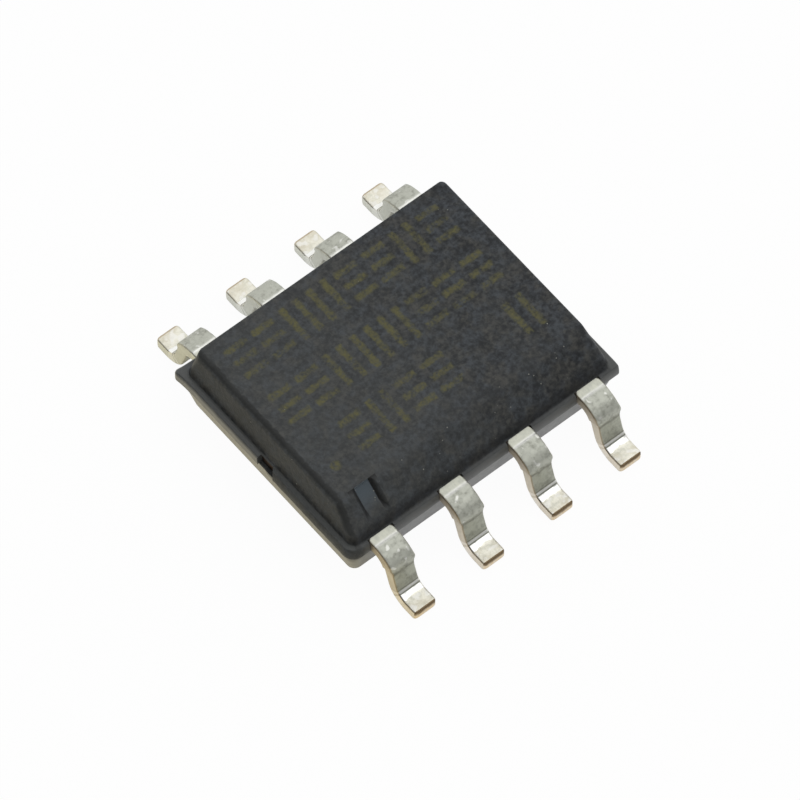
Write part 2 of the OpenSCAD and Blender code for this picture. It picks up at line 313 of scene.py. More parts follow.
@dataclass(frozen=True)
class MouldCompound:
    """Black filled epoxy: blue-grey, coarsely grained on its faces and smoother along the rim."""

    body: "PackageBody"
    deep: Colour = (0.020, 0.022, 0.024)
    cool: Colour = (0.067, 0.075, 0.084)
    warm: Colour = (0.075, 0.074, 0.068)
    dust: Colour = (0.080, 0.084, 0.082)
    # Near-black painted shade, laid in the hollow at the foot of the upper half, on the front ledge, along
    # the left edge and on the groove's walls.
    painted_shade: Colour = (0.006, 0.006, 0.006)
    ink: Colour = (0.112, 0.106, 0.046)
    # The groove's floor is smoother, and is also painted paler blue-grey as a painted reflection.
    groove_floor_painted_sheen: Colour = (0.066, 0.084, 0.098)
    speck: Colour = (0.26, 0.26, 0.23)
    roughness: float = 0.42
    rim_roughness: float = 0.36
    rim_coat: float = 0.56
    left_coat: float = 0.32
    specular: float = 0.15
    grain_depth: float = 0.012
    mark_soft: float = 0.006

    def below_bevel(self, y: Signal, z: Signal) -> Signal:
        """Return how deep a point lies below the slope of the bevel."""
        edge, angle = self.body.bevel_top, self.body.bevel_angle
        return (y - edge.y) * sin(angle) - (z - edge.z) * cos(angle)

    def groove_faces(self, point: Signal) -> tuple[Signal, Signal]:
        """Find the faces of the groove that marks lead 1.

        Args:
            point: The point, in millimetres.

        Returns:
            The share of the floor, which fades towards the lower end, and that of the walls beside it.
        """
        x, y, z = point.graph.axes(point)
        body = self.body
        rim, edge, middle, width = body.lead_top, body.bevel_top.y, body.groove_x, body.groove_w
        depth = self.below_bevel(y, z)
        across = x.within(middle - width / 2, middle + width / 2, self.mark_soft)
        inside = y.rise(edge + body.groove_back + 0.01, edge + body.groove_back)
        beside = x.within(middle - width, middle + width, self.mark_soft) * (1 - across) * inside
        floor = depth.rise(0.03, 0.04) * across * inside * y.rise(edge - 0.30, edge - 0.02)
        return floor, depth.rise(0.0, 0.05) * beside * z.rise(rim + 0.10, rim + 0.18)

    def left_edge(self, point: Signal) -> Signal:
        """Find the rounded edge of the left-hand wall, along the top face and down beside the bevel, which
        takes painted shade.

        Args:
            point: The point, in millimetres.

        Returns:
            1 on the edge, with a ragged border.
        """
        x, y, z = point.graph.axes(point)
        rim, top, draft = self.body.lead_top, self.body.top_z, self.body.draft
        ragged = point.graph.grain(point, 10.0, 3.0).spread(0.10)
        inward = x + self.body.half_len - self.body.wall(top, draft) + (top - z) * tan(draft) + ragged
        under = z.rise(top - 0.055, top - 0.025).most(self.below_bevel(y, z).rise(0.08, 0.04))
        return inward.rise(0.108, 0.075) * under * z.rise(rim + 0.10, rim + 0.20)

    def material(self) -> Material:
        """Build the material."""
        graph = ShaderGraph(bpy.data.materials.new("moulded_epoxy"))
        point = graph.place()
        x, y, z = graph.axes(point)
        body = self.body
        rim, top, end, front, tie = body.lead_top, body.top_z, body.half_len, -body.half_w, body.tie_y
        edge = body.bevel_top.y
        cloud = graph.grain(point, 1.3, 3.0)
        mottle = graph.grain(point, 6.5, 4.0, 0.7)
        grit = graph.grain(point, 14.0, 2.0, 0.6)
        scuff = graph.grain(graph.scaled(point, (3.0, 14.0, 9.0)), 2.0, 5.0, 0.7)

        # Painted shade: the hollow at the foot of the upper half, a band on the front ledge, and the rounded
        # left edge, which stands for a dark reflection.
        hollow = z.rise(rim + 0.22, rim + 0.08) * z.rise(rim, rim + 0.03)
        ledge = z.within(rim - 0.01, rim + 0.02, 0.01)
        ends = abs(x).rise(end - 0.19, end - 0.11)
        shaded = ledge * y.within(front + 0.045, front + 0.12, 0.025) * (1 - ends)
        painted_shade_share = (hollow * (0.55 - 0.30 * ends)).most(shaded * 0.40).most(self.left_edge(point) * 0.95)
        floor, beside = self.groove_faces(point)
        at_left = x.rise(0.3 - end, 0.2 - end)
        matt = z.rise(rim - 0.50, rim - 0.15) * at_left * y.rise(tie + 0.02, tie - 0.02)
        face = z.rise(rim - 0.02, rim + 0.02).most(matt) * (1 - floor * 0.8)
        scuffed = scuff.rise(0.60, 0.78) * z.rise(top - 0.09, top - 0.01)
        # A paler tone: dust in cloudy patches and on scuffs, and paler towards the left end.
        worn = cloud.rise(0.40, 0.75) * 0.15 + x.rise(2.0, -2.2) * 0.36 + scuffed * 0.4
        dusty = (worn * (1 - hollow)).most(ledge * ends).most(1 - face)
        slope = y.rise(edge + 0.10, edge - 0.05) * z.rise(rim + 0.1, rim + 0.2)
        bright = graph.specks(point, 3.6).rise(0.045, 0.025) * graph.grain(point, 1.9).rise(0.54, 0.60)
        bright = bright.most(graph.specks(point, 6.5).rise(0.085, 0.04) * slope)

        filler = graph.mix(graph.grain(point, 5.0, 2.0).rise(0.36, 0.66), self.cool, self.warm)
        colour = graph.mix((mottle * 0.5 + grit * 0.5).rise(0.34, 0.68), self.deep, filler)
        colour = colour.coated(painted_shade_share, self.painted_shade).coated(dusty, self.dust)
        # The ink is print; the groove's walls are painted dark as painted shade.
        colour = colour.coated(WornInk(top).share(point), self.ink).coated(beside * 0.75, self.painted_shade)
        # The groove's floor takes its painted reflection; the specks are filler.
        colour = colour.coated(floor, self.groove_floor_painted_sheen).coated(bright, self.speck)
        smooth = self.rim_roughness + (self.roughness - self.rim_roughness) * face
        height = (grit * 0.6 + mottle * 0.9) * (0.2 + 0.8 * face) + bright * 0.4
        return graph.surface(
            base_color=colour,
            specular_ior_level=self.specular,
            roughness=smooth + mottle.spread(0.25) + grit.spread(0.25),
            coat_weight=(1 - face) * (self.rim_coat + self.left_coat * at_left),
            coat_roughness=self.rim_roughness,
            normal=graph.bump(height, self.grain_depth),
        )


@dataclass(frozen=True)
class TinPlating:
    """Tin on the leads: dull where the lead was bent, warm on the foot and polished at the heel, with painted
    highlights and painted shade.
    """

    lead: "Lead"
    flat: Colour = (0.59, 0.595, 0.51)
    bent: Colour = (0.50, 0.51, 0.45)
    # Darker tin below the trim line: painted shade on the shank.
    drawn: Colour = (0.46, 0.47, 0.40)
    shade: Colour = (0.22, 0.22, 0.185)
    foot: Colour = (0.80, 0.78, 0.68)
    # Near-white for painted highlights, and for pale spangles on the foot.
    spangle_and_glint: Colour = (0.88, 0.88, 0.85)
    stain: Colour = (0.62, 0.58, 0.46)
    # Side faces: a painted warm reflection on the near row, a lighter painted copy on the far row, and
    # painted shade on the upper sides and the rounded edge.
    side: Colour = (0.84, 0.76, 0.63)
    far_row_side_light: Colour = (0.70, 0.71, 0.64)
    edge_painted_shade: Colour = (0.34, 0.26, 0.16)
    resin: Colour = (0.035, 0.028, 0.020)
    roughness: float = 0.42
    polish: float = 0.16
    dent_depth: float = 0.016
    trim_lift: float = 0.03

    def resin_film(self, point: Signal) -> Signal:
        """Say where a film of moulding resin has run over the lead's edges, next to the body.

        Args:
            point: The point, in millimetres.

        Returns:
            1 under the film.
        """
        x, y, _ = point.graph.axes(point)
        body = self.lead.body
        out = abs(y) - (body.half_w - body.upper_setback)
        off = abs((x / body.pitch).fract().spread(body.pitch))
        ragged = point.graph.grain(point, 14.0, 3.0).spread(0.05)
        return (off - out * 0.75 + ragged).rise(0.150, 0.172) * out.rise(0.13, 0.10)

    def material(self) -> Material:
        """Build the material."""
        graph = ShaderGraph(bpy.data.materials.new("tin_plating"))
        point = graph.place()
        _, y, z = graph.axes(point)
        lead, out = self.lead, abs(y)
        top, bend, trim = lead.body.lead_top, lead.bend_y, lead.trim_z + self.trim_lift
        upper, lower, last = lead.heel_folds[1:4]
        facing = graph.axes(graph.node("NewGeometry", output="Normal"))[0]
        aside = abs(facing).rise(0.62, 0.92)
        edge = facing.rise(-0.30, -0.60) * facing.rise(-0.97, -0.80)
        far = y.rise(-0.1, 0.1)
        cloud = graph.grain(point, 4.5, 3.0, 0.6)
        mottle = graph.grain(point, 14.0, 4.0, 0.65)
        flake = graph.grain(point, 9.0, 1.0, 0.4)
        drag = graph.grain(graph.scaled(point, (30.0, 4.0, 4.0)), 1.0, 4.0, 0.6)

        turn = (lead.heel_y - out).turn(lead.heel_z - z)
        inner = z.rise(lead.heel_z, lead.heel_z - 0.02)
        foot = (turn + cloud.spread(0.7)).rise(last + 0.06, last - 0.06)
        band = turn.rise(lower + 0.02, lower - 0.06) * (1 - foot) * inner
        crease = sum((turn.within(fold - 0.03, fold + 0.05, 0.03) for fold in (upper, lower)), 0.0) * inner
        strip = turn.within(lower + 0.10, upper - 0.08, 0.04) * inner
        formed = out.rise(bend, bend + 0.04) * (1 - foot)
        ridge = out.within(bend - 0.005, bend + 0.03, 0.03) * z.rise(top - 0.06, top - 0.02)
        low = z.rise(trim + 0.05, trim)
        dent = formed * (z + cloud.spread(0.12)).within(trim - 0.05, trim, 0.03)
        bright = flake.rise(0.64, 0.72) * formed * (1 - low)
        stained = (cloud + out.rise(lead.tip_y - 0.30, lead.tip_y) * 0.14).rise(0.46, 0.66)
        # Painted highlights: the heel band, the ridge at the start of the shoulder bend, glints on the bent
        # face and the strip between the heel's creases.
        glint = (band * (0.45 + cloud)).most(ridge * (0.2 + cloud * 1.1))
        glint = glint.most(bright * 0.45).most(strip * 0.95)
        film = self.resin_film(point)

        flat = graph.mix((mottle * 0.5 + drag * 0.5).rise(0.40, 0.66) * 0.9, self.flat, self.bent)
        bent = graph.mix((mottle * 0.6 + cloud * 0.4).rise(0.46, 0.68) * 0.55, self.bent, self.shade)
        drawn = graph.mix((mottle * 0.5 + cloud * 0.5).rise(0.44, 0.64) * 0.55, self.drawn, self.shade)
        under = graph.mix(mottle.rise(0.44, 0.66) * 0.5, self.foot, self.flat)
        under = under.coated(stained * 0.65, self.stain).coated(flake.rise(0.50, 0.66) * 0.6, self.spangle_and_glint)
        # The side's upper part is painted darker as painted shade.
        side = graph.mix((z + cloud.spread(0.3)).rise(0.52, 0.86) * 0.55, self.side, self.edge_painted_shade)
        # Below the trim line the tin is painted darker as painted shade, and the heel's creases and the trim
        # step take painted shade.
        colour = flat.coated(formed, bent.coated(low, drawn)).coated(foot, under)
        colour = colour.coated(glint, self.spangle_and_glint).coated((crease * 0.8).most(dent * 0.7), self.shade)
        # Sides take a painted warm reflection, lighter on the far row; the rounded edge to the left takes
        # painted shade, weaker on the far row.
        colour = colour.coated(aside * (0.65 + cloud * 0.4), side.coated(far, self.far_row_side_light))
        colour = colour.coated(edge * (0.65 - 0.50 * far), self.edge_painted_shade).coated(film, self.resin)

        shine = band.most(ridge * 0.3).most(bright * 0.3).most(strip * 0.6)
        roughness = self.roughness + formed * 0.12 + mottle.spread(0.30)
        height = drag * 0.08 + mottle * 0.15 * (1 - shine) + cloud * foot * 0.4
        height = height + flake * formed * (1 - aside) * 0.7 - dent * 0.3
        return graph.surface(
            base_color=colour,
            metallic=1 - film,
            roughness=roughness * (1 - shine) + shine * self.polish,
            normal=graph.bump(height, self.dent_depth),
        )


@dataclass(frozen=True)
class CutEnd:
    """The shear-cut tip of a lead: a dark upper edge over bare copper alloy with tarnish; the edge's tone is
    painted shade, darker on the near row than the far one.
    """

    edge_z: float
    edge: Colour = (0.20, 0.145, 0.085)
    far_row_edge_light: Colour = (0.52, 0.44, 0.32)
    bare: Colour = (0.80, 0.66, 0.46)
    smear: Colour = (0.86, 0.82, 0.72)
    roughness: float = 0.46
    drag_depth: float = 0.006

    def material(self) -> Material:
        """Build the material."""
        graph = ShaderGraph(bpy.data.materials.new("cut_copper"))
        point = graph.place()
        _, y, z = graph.axes(point)
        drag = graph.grain(graph.scaled(point, (26.0, 26.0, 4.0)), 1.0, 4.0, 0.65)
        tarnish = graph.grain(point, 11.0, 4.0, 0.6)
        colour = graph.mix(drag.rise(0.42, 0.68) * 0.6, self.bare, self.smear)
        # The upper edge's tone is painted shade: darker on the near row, lighter on the far row.
        edge = graph.mix(y.rise(-0.1, 0.1), self.edge, self.far_row_edge_light)
        uneven = z + tarnish.spread(0.08)
        return graph.surface(
            base_color=colour.coated(uneven.rise(self.edge_z - 0.06, self.edge_z), edge),
            metallic=1.0,
            roughness=self.roughness + tarnish.spread(0.3),
            normal=graph.bump(drag, self.drag_depth),
        )


@dataclass(frozen=True)
class InnerFinish:
    """A finish for what lies inside the body: two tones in fine streaks, and painted shade where it comes
    out.
    """

    name: str
    light: Colour
    dark: Colour
    roughness: float = 0.45
    metallic: float = 1.0
    open_x: float = 10.0
    pocket_painted_shade: Colour = (0.055, 0.036, 0.028)
    drag_depth: float = 0.006

    def material(self) -> Material:
        """Build the material."""
        graph = ShaderGraph(bpy.data.materials.new(self.name))
        point = graph.place()
        drag = graph.grain(graph.scaled(point, (24.0, 24.0, 3.0)), 1.0, 4.0, 0.65)
        stain = graph.grain(point, 9.0, 4.0, 0.6)
        colour = graph.mix((drag * 0.6 + stain * 0.5).rise(0.40, 0.72), self.light, self.dark)
        # Painted shade where the frame comes out in the pockets.
        out = abs(graph.axes(point)[0]).rise(self.open_x - 0.05, self.open_x - 0.01)
        return graph.surface(
            base_color=colour.coated(out, self.pocket_painted_shade),
            metallic=self.metallic,
            roughness=self.roughness + stain.spread(0.3),
            normal=graph.bump(drag, self.drag_depth),
        )


class FaceFinish(IntEnum):
    """Which of a lead's materials a face takes."""

    PLATING = 0
    CUT_END = 1
    FRAME = 2


class LeadForm(Enum):
    """Which way a lead's finger is shaped inside the body."""

    MIDDLE = "middle"
    CORNER = "corner"


def new_object(name: str, mesh: Mesh) -> Object:
    """Put a mesh into the scene.

    Args:
        name: The object's name.
        mesh: Its mesh.

    Returns:
        The object.
    """
    made = bpy.data.objects.new(name, mesh)
    bpy.context.scene.collection.objects.link(made)
    return made


def to_mesh(name: str, shape: BMesh) -> Mesh:
    """Turn a bmesh into a mesh and free it.

    Args:
        name: The mesh's name.
        shape: The bmesh.

    Returns:
        The mesh.
    """
    mesh = bpy.data.meshes.new(name)
    shape.to_mesh(mesh)
    shape.free()
    return mesh


def add_piece(name: str, mesh: Mesh, node: str, materials: Iterable[Material]) -> Object:
    """Add a piece drawn in millimetres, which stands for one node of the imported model.

    Args:
        name: The piece's name.
        mesh: Its mesh, in millimetres.
        node: The node that it stands for.
        materials: Its materials, in the order of the faces' numbers.

    Returns:
        The piece.
    """
    mesh.transform(Matrix.Scale(MM, 4))
    for material in materials:
        mesh.materials.append(material)
    mesh.shade_smooth()
    mesh.set_sharp_from_angle(angle=SHARP_EDGE)
    piece = new_object(name, mesh)
    weigh = piece.modifiers.new("flat_faces_stay_flat", "WEIGHTED_NORMAL")
    weigh.keep_sharp = True
    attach(piece, BODY)
    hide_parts(node)
    return piece


def join_rings(shape: BMesh, rings: Sequence[Sequence[Vector]]) -> list[list[BMFace]]:
    """Skin a stack of rings that all have the same number of points, and close both ends.

    Args:
        shape: The bmesh to draw in.
        rings: The rings, from one end to the other.

    Returns:
        The faces between each two rings, then those of the first end and of the last end.
    """
    rows = [[shape.verts.new(point) for point in ring] for ring in rings]
    count = len(rows[0])
    bands = []
    for low, high in zip(rows, rows[1:]):
        pairs = ((k, (k + 1) % count) for k in range(count))
        bands.append([shape.faces.new((low[a], low[b], high[b], high[a])) for a, b in pairs])
    return bands + [[shape.faces.new(list(reversed(rows[0])))], [shape.faces.new(rows[-1])]]


def add_box(shape: BMesh, low: Vector, high: Vector) -> None:
    """Draw a box between two corners."""
    place = Matrix.Translation((low + high) / 2) @ Matrix.Diagonal((*(high - low), 1))
    bmesh.ops.create_cube(shape, size=1, matrix=place)


def cut_mesh(mesh: Mesh, cutter: Mesh) -> Mesh:
    """Take one mesh away from another.

    Args:
        mesh: The mesh to cut.
        cutter: What is taken away.

    Returns:
        What is left.
    """
    body, tool = new_object("uncut", mesh), new_object("cutter", cutter)
    cut = body.modifiers.new("cut", "BOOLEAN")
    cut.operation, cut.solver, cut.object = "DIFFERENCE", "EXACT", tool
    left = bpy.data.meshes.new_from_object(body.evaluated_get(bpy.context.evaluated_depsgraph_get()))
    for spent in (body, tool):
        bpy.data.objects.remove(spent)
    return left


@dataclass(frozen=True)
class Level:
    """One level of the moulding: its height, how far each side is set in, and its corner radii.

    The sides come in the order +X, +Y, -X and -Y, and each corner lies after the side of its number.
    """

    z: float
    insets: tuple[float, ...]
    radii: tuple[float, ...]


@dataclass
class PackageBody:
    """The moulded body: two drafted halves, the rim between them and the marks of the mould.

    Each of the waves that the flash makes has a scale, a layer of the noise and a share.
    """

    half_len: float
    half_w: float
    top_z: float
    standoff: float
    lead_top: float
    lead_xs: tuple[float, ...]
    lead_t: float = 0.20
    lead_w: float = 0.45
    draft: float = radians(12)
    far_draft: float = radians(9.3)
    upper_setback: float = 0.10
    lower_setback: float = 0.035
    corner_r: float = 0.13
    least_r: float = 0.03
    rim_radii: tuple[float, ...] = (0.08, 0.07, 0.19, 0.04)
    rim_under_round: float = 0.025
    rim_rounds: tuple[tuple[float, float], ...] = ((0.03, 0.05), (0.03, 0.05), (0.03, 0.06), (0.05, 0.17))
    worn_round: tuple[float, float] = (0.05, 0.15)
    under_round: float = 0.04
    foot_round: float = 0.05
    top_rounds: tuple[float, ...] = (0.04, 0.03, 0.13)
    bevel_run: float = 0.36
    bevel_drop: float = 0.42
    bevel_r: float = 0.35
    bevel_soft: float = 0.06
    groove_w: float = 0.25
    groove_depth: float = 0.07
    groove_lean: float = 0.09
    groove_drop: float = 0.36
    groove_back: float = 0.05
    groove_runout: float = 0.20
    groove_gap: float = 0.475
    pocket_depth: float = 0.10
    pocket_wear: float = 0.07
    tie_w: float = 0.28
    tie_y: float = 0.0
    ejector_d: float = 0.9
    ejector_depth: float = 0.04
    ejector_x: float = 1.35
    ejector_steps: int = 72
    slot_room: float = 0.004
    flash: float = 0.012
    flash_waves: tuple[tuple[float, float, float], ...] = ((1.7, 0.0, 0.6), (7.0, 9.0, 0.4))
    corner_flash: float = 0.022
    corner_steps: int = 8
    side_steps: tuple[int, int] = (72, 90)
    round_steps: int = 8
    wall_steps: int = 22

    @classmethod
    def from_frame(cls) -> "PackageBody":
        """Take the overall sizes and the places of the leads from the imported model."""
        low, high = (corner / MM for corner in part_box("package_body"))
        middles = [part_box(f"lead_{number}") for number in (2, 3)]
        pitch = sum(abs(near.x + far.x) / 2 for near, far in middles) / MM
        places = tuple(pitch * (k - (LEADS_PER_ROW - 1) / 2) for k in range(LEADS_PER_ROW))
        return cls(high.x, high.y, high.z, low.z, middles[0][1].z / MM, places)

    @property
    def pitch(self) -> float:
        """Distance between two leads of a row."""
        return self.lead_xs[1] - self.lead_xs[0]

    @property
    def lead_under(self) -> float:
        """Height of the underside of the leads, and of the rim."""
        return self.lead_top - self.lead_t

    @property
    def lean(self) -> float:
        """Angle between a level face and a drafted wall, as their rounded edge turns."""
        return QUARTER - self.draft

    @property
    def under_inset(self) -> float:
        """How far the underside is set back from the rim."""
        return self.lower_setback + (self.lead_under - self.standoff) * tan(self.draft)

    @property
    def bevel_top(self) -> Vector:
        """A point on the upper edge of the bevel, before that edge is rounded."""
        y = self.half_w - self.wall(self.top_z, self.draft) - self.bevel_run
        return Vector((0, -y, self.top_z))

    @property
    def bevel_angle(self) -> float:
        """Slope of the bevel."""
        return atan2(self.bevel_drop, self.bevel_run + self.bevel_drop * tan(self.draft))

    @property
    def groove_x(self) -> float:
        """Where the middle of the groove lies."""
        return -(self.half_len - self.wall(self.top_z, self.draft) - self.groove_gap)

    def wall(self, z: float, draft: float) -> float:
        """Return how far an upper wall of some draft is set in from the rim at a height."""
        return self.upper_setback + (z - self.lead_top) * tan(draft)

    def rounded(self, z: float, start: float, turn: float, r: float) -> float:
        """Return how far a face is set in at a height, below its rounded edge with the top face.

        Args:
            z: The height.
            start: How far it would be set in at the top without the rounding.
            turn: The angle that the edge turns by.
            r: The edge's radius.

        Returns:
            The distance from the rim.
        """
        deep = self.top_z - z
        if deep < r * (1 - cos(turn)):
            return start + r * tan(turn / 2) - sqrt(2 * r * deep - deep * deep)
        return start - deep / tan(turn)

    def side(self, z: float, draft: float, r: float) -> float:
        """Return how far a plain side is set in at a height, below a top edge of some radius."""
        return self.rounded(z, self.wall(self.top_z, draft), QUARTER - draft, r)

    def front(self, z: float) -> float:
        """Return how far the first row's side is set in at a height.

        Args:
            z: The height.

        Returns:
            The distance from the rim of the wall or the bevel, softened where the two meet.
        """
        wall = self.wall(z, self.draft)
        bevel = self.rounded(z, self.half_w + self.bevel_top.y, self.bevel_angle, self.bevel_r)
        return (wall + bevel + hypot(wall - bevel, self.bevel_soft)) / 2

    def rim_inset(self, z: float, rounding: tuple[float, float]) -> float:
        """Return how far the rim is set in at a height by its upper edge, a quarter of an ellipse."""
        share = max(0.0, 1 - (self.lead_top - z) / rounding[1])
        return rounding[0] * (1 - sqrt(1 - share * share))

    def corners(self, shrink: float = 0.0) -> tuple[float, ...]:
        """Return the corner radii of the upper and lower halves, made smaller towards a rounded edge."""
        return (max(self.least_r, self.corner_r - shrink),) * len(self.rim_radii)

    def outline(self, level: Level) -> list[Vector]:
        """Draw the body's outline at one level.

        Args:
            level: The level.

        Returns:
            The points, with even steps along the straight sides.
        """
        right, back, left, front = level.insets
        arcs = []
        for corner, r in enumerate(level.radii):
            middle = QUARTER * (corner + 0.5)
            x = self.half_len - r - right if cos(middle) > 0 else r + left - self.half_len
            y = self.half_w - r - back if sin(middle) > 0 else r + front - self.half_w
            angles = sweep(QUARTER * corner, QUARTER * (corner + 1), self.corner_steps)
            arcs.append([Vector((x + r * cos(a), y + r * sin(a), level.z)) for a in angles])
        points = []
        for corner, arc in enumerate(arcs):
            steps = self.side_steps[(corner + 1) % 2]
            following = arcs[(corner + 1) % len(arcs)][0]
            points += arc + [arc[-1].lerp(following, k / steps) for k in range(1, steps)]
        return points

    def lower_levels(self) -> list[Level]:
        """Draw the lower half, from the rounded edge of the underside up to the rim."""
        r = self.under_round
        start = self.under_inset + r * tan(self.lean / 2)
        levels = []
        for a in sweep(0, self.lean, self.round_steps):
            inset = start - r * sin(a)
            shrink = max(0.0, inset - self.under_inset)
            levels.append(Level(self.standoff + r * (1 - cos(a)), (inset,) * 4, self.corners(shrink)))
        return levels + [Level(self.lead_under, (self.lower_setback,) * 4, self.corners())]

    def rim_levels(self) -> list[Level]:
        """Draw the rim with its two rounded edges."""
        r = self.rim_under_round
        levels = []
        for a in sweep(0, QUARTER, self.round_steps):
            z = self.lead_under + r * (1 - cos(a))
            levels.append(Level(z, (r * (1 - sin(a)),) * 4, self.rim_radii))
        down = max(down for _, down in self.rim_rounds)
        for a in sweep(0, QUARTER, 2 * self.round_steps):
            z = self.lead_top - down * (1 - sin(a))
            insets = tuple(self.rim_inset(z, rounding) for rounding in self.rim_rounds)
            levels.append(Level(z, insets, self.rim_radii))
        return levels

    def upper_levels(self) -> list[Level]:
        """Draw the upper half, from the hollow at its foot to the edge of the top face."""
        f, r = self.foot_round, max(self.top_rounds)
        foot = self.upper_setback - f * tan(self.lean / 2)
        levels = []
        for a in sweep(0, self.lean, self.round_steps):
            z, inset = self.lead_top + f * (1 - cos(a)), foot + f * sin(a)
            levels.append(Level(z, (inset,) * 4, self.corners()))
        low, high = levels[-1].z, self.top_z - r * (1 - cos(self.lean))
        heights = sweep(low, high, self.wall_steps)[1:-1]
        heights += [self.top_z - r * (1 - cos(a)) for a in sweep(self.lean, 0, 2 * self.round_steps)]
        drafts = (self.far_draft, self.far_draft, self.draft)
        for z in heights:
            sides = tuple(self.side(z, draft, edge) for draft, edge in zip(drafts, self.top_rounds))
            shrink = sides[2] - self.wall(z, self.draft)
            levels.append(Level(z, (*sides, self.front(z)), self.corners(shrink)))
        return levels

    def moulding(self) -> BMesh:
        """Draw the moulding, closed and with nothing cut into it."""
        levels = self.lower_levels() + self.rim_levels() + self.upper_levels()
        shape = bmesh.new()
        join_rings(shape, [self.outline(level) for level in levels])
        bmesh.ops.recalc_face_normals(shape, faces=shape.faces)
        self.wear_rim(shape)
        return shape

    def wear_rim(self, shape: BMesh) -> None:
        """Round the rim more in front of the left-hand tie bar, and let its outer edge waver like flash.

        Args:
            shape: The moulding, whose points are moved.
        """
        r = max(self.rim_radii)
        core = Vector((self.half_len - r, self.half_w - r))
        for vert in shape.verts:
            at = vert.co
            away = at - Vector((max(-core.x, min(core.x, at.x)), max(-core.y, min(core.y, at.y)), at.z))
            weight = 1 - (r - away.length) / self.foot_round
            if not self.lead_under <= at.z <= self.lead_top or weight <= 0:
                continue
            corner = hypot(at.x + self.half_len, at.y - self.half_w) / (2 * self.corner_r)
            push = self.corner_flash * exp(-corner * corner)
            for scale, layer, share in self.flash_waves:
                push += self.flash * share * noise.noise(Vector((at.x, at.y, layer)) * scale)
            if at.x < -core.x and at.y < self.tie_y:
                push -= self.rim_inset(at.z, self.worn_round) - self.rim_inset(at.z, self.rim_rounds[2])
            vert.co += away.normalized() * weight * push

    def cutters(self) -> BMesh:
        """Draw what is taken out, as separate solids: slots, pockets, the groove and the ejector marks."""
        shape = bmesh.new()
        low_z, high_z = self.lead_under - self.slot_room, self.lead_top + self.slot_room
        half_slot = self.lead_w / 2 + self.slot_room
        inner, outer = self.half_w - 2 * self.upper_setback, 2 * self.half_w
        for x in self.lead_xs:
            for near, far in ((inner, outer), (-outer, -inner)):
                add_box(shape, Vector((x - half_slot, near, low_z)), Vector((x + half_slot, far, high_z)))
        for side in (-1, 1):
            join_rings(shape, [self.pocket_ring(side, z) for z in (low_z, high_z)])
            place = Matrix.Translation((side * self.ejector_x, 0, self.standoff))
            r, depth = self.ejector_d / 2, 2 * self.ejector_depth
            size = {"radius1": r, "radius2": r, "depth": depth}
            bmesh.ops.create_cone(shape, cap_ends=True, segments=self.ejector_steps, matrix=place, **size)
        join_rings(shape, [self.groove_ring(0), self.groove_ring(2 * self.groove_depth)])
        bmesh.ops.recalc_face_normals(shape, faces=shape.faces)
        return shape

    def pocket_ring(self, side: int, z: float) -> list[Vector]:
        """Draw one level of the cutter for a tie-bar pocket, whose front corner is worn at the left-hand end.

        Args:
            side: 1 for the right-hand end, -1 for the left-hand one.
            z: The height.

        Returns:
            Its corners.
        """
        inner, outer = self.half_len - self.pocket_depth - self.slot_room, 2 * self.half_len
        start = self.half_len - self.pocket_wear
        front, back = self.tie_y - self.tie_w / 2, self.tie_y + self.tie_w / 2
        worn = front - (outer - start if side < 0 else 0.0)
        plan = [(inner, front), (start, front), (outer, worn), (outer, back), (inner, back)]
        return [Vector((side * x, y, z)) for x, y in plan]

    def groove_ring(self, height: float) -> list[Vector]:
        """Draw one level of the cutter for the groove that marks lead 1.

        Args:
            height: The height above the groove's floor, square to it.

        Returns:
            Its four corners.
        """
        a = self.bevel_angle
        along, out = Vector((0, cos(a), sin(a))), Vector((0, -sin(a), cos(a)))
        drop = Vector((0, self.groove_drop / tan(a), self.groove_drop))
        back = Vector((0, self.groove_back, self.groove_back * tan(a)))
        over = height - self.groove_depth
        near = self.bevel_top - drop + over * out
        near += along * (self.groove_runout * (1 - height / self.groove_depth))
        far = self.bevel_top + back + over * Vector((0, 0, 1 / cos(a)))
        half = self.groove_w / 2 + height * self.groove_lean / self.groove_depth
        sides = [(near, -half), (near, half), (far, half), (far, -half)]
        return [Vector((self.groove_x + side, end.y, end.z)) for end, side in sides]

    def build(self, finish: MouldCompound) -> Object:
        """Make the body's piece with its finish."""
        mesh = cut_mesh(to_mesh("moulding", self.moulding()), to_mesh("cutters", self.cutters()))
        return add_piece("moulded_body", mesh, "package_body", [finish.material()])


@dataclass(frozen=True)
class Station:
    """One cross-section of a lead: its middle line, its tilt and where its two sides are.

    The upper face may be raised a little, the lower one lifted, and both drawn in at a rounded end.
    """

    y: float
    z: float
    tilt: float
    left: float
    right: float
    raised: float = 0.0
    thinned: float = 0.0
    lifted: float = 0.0


